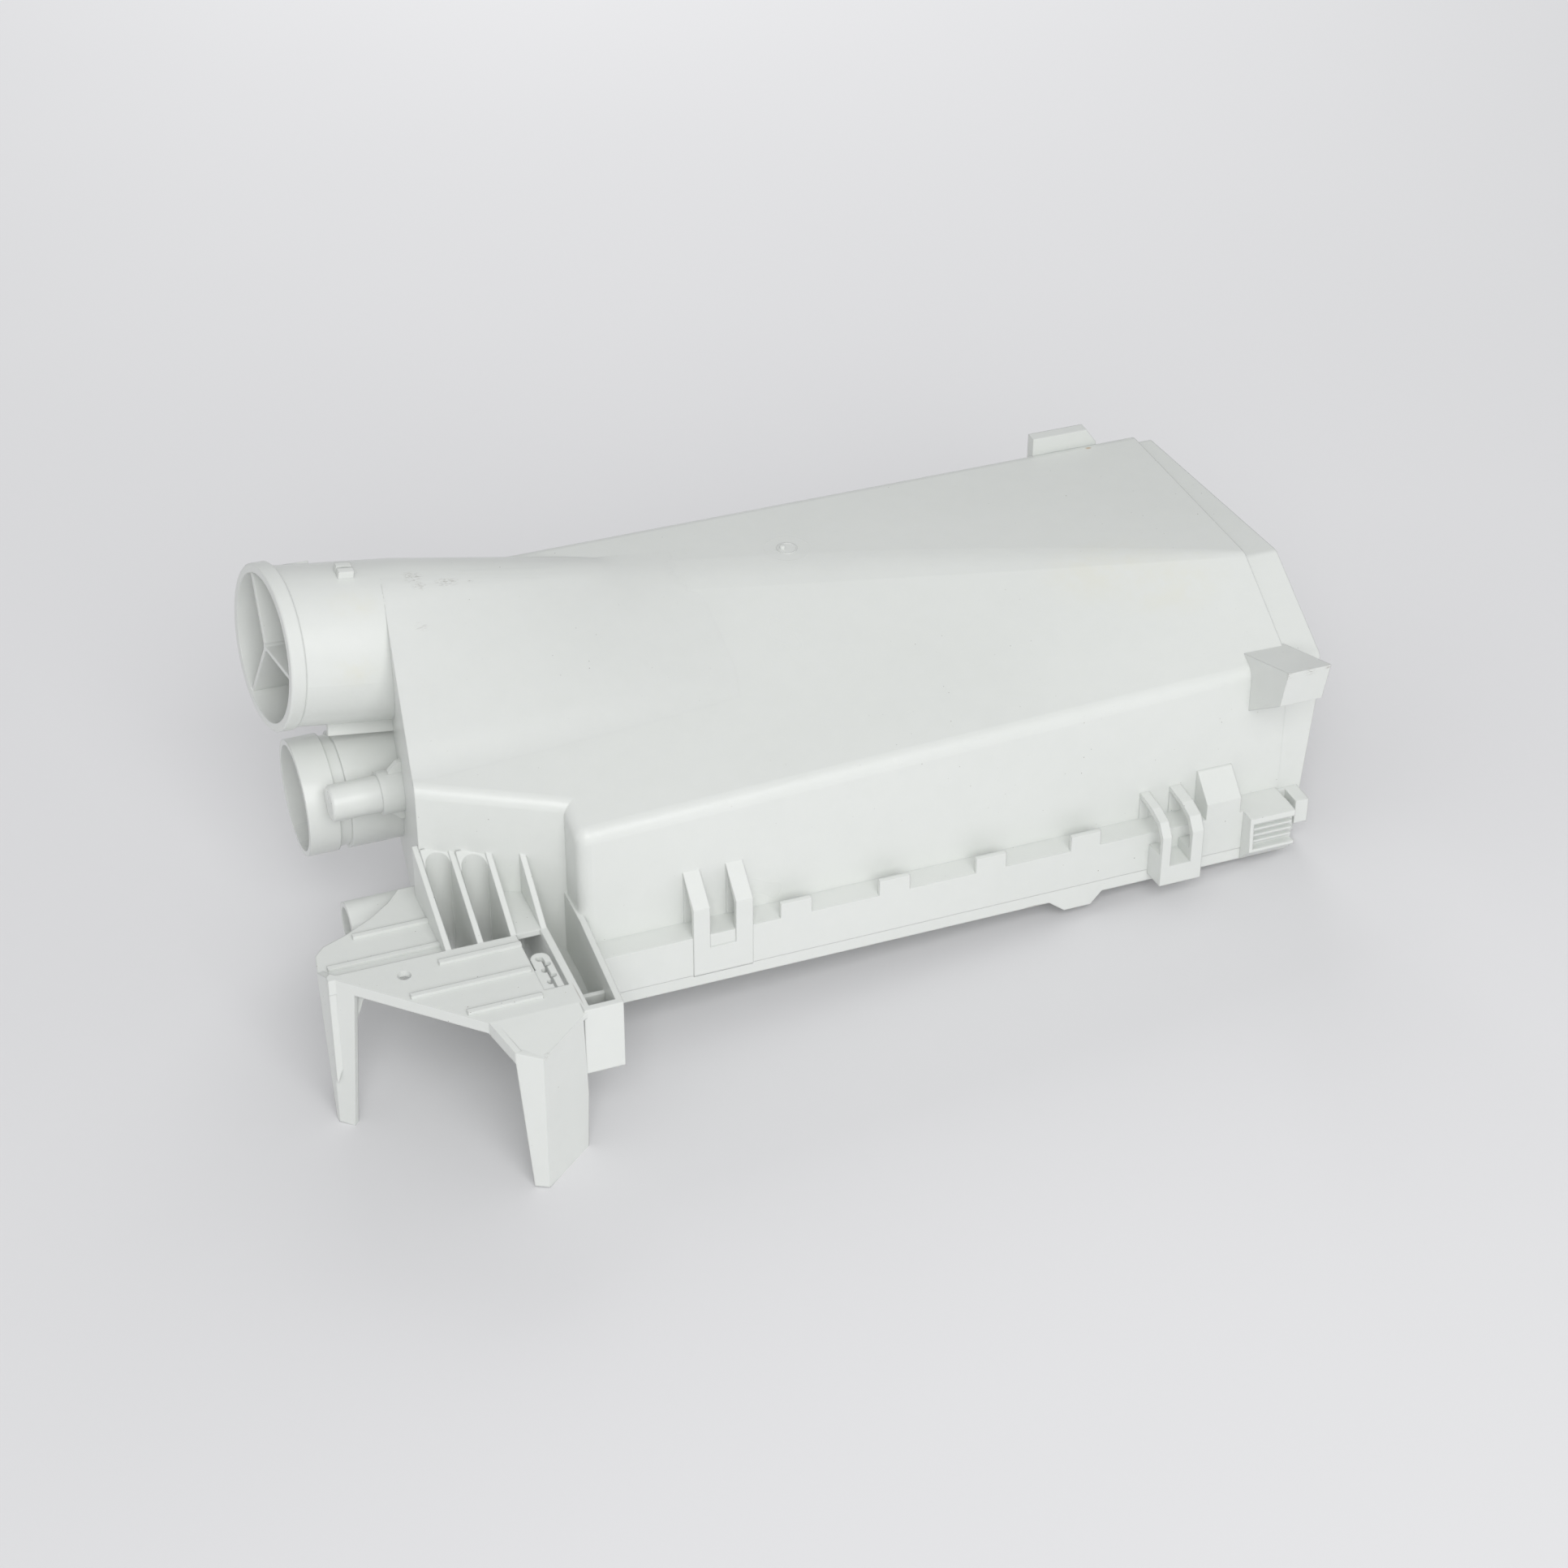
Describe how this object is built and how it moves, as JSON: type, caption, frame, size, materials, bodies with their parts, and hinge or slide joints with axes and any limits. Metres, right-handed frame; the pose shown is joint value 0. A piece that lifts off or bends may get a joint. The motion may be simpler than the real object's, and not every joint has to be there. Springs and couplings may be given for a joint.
{
  "type": "dispenser drawer housing",
  "caption": "Moulded plastic drawer housing with cover plate, outlet tube with spoked guard, side tubes, snap clips and a two-legged corner bracket.",
  "frame": {"origin": "middle of the bounding box's foot, level with the foot of the bracket's left leg", "axes": "+X along the flange towards the open drawer mouth, +Y from the flange's front face to the far wall, +Z from the cover to the bay's top"},
  "size_m": [0.3924, 0.2202, 0.1584],
  "materials": {
    "housing_plastic": "satin moulded white plastic with a faint green cast",
    "cover_plastic": "satin moulded white plastic with a faint green cast"
  },
  "bodies": {
    "root": {"housing": "housing_plastic", "cover_plate": "cover_plastic"}
  },
  "joints": []
}
